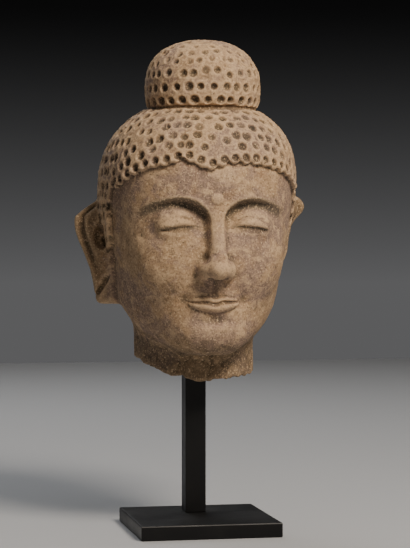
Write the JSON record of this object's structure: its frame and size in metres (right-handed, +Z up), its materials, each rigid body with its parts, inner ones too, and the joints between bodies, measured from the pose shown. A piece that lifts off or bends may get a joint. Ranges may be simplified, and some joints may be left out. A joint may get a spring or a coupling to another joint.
{
  "type": "buddha head on stand",
  "caption": "Fired clay head of a buddha with pitted hair, a domed topknot and long ears, on a square black steel post and base plate.",
  "frame": {"origin": "centre of the base plate's underside, on the surface that the object stands on", "axes": "+Z up through the head, the face looks along -Y, +X to the viewer's right"},
  "size_m": [0.2282, 0.2279, 0.4698],
  "materials": {
    "fired_clay": "matte, worn and dusty fired clay",
    "black_steel": "satin black"
  },
  "bodies": {
    "root": {"base_plate": "black_steel", "post": "black_steel", "head": "fired_clay"}
  },
  "joints": []
}
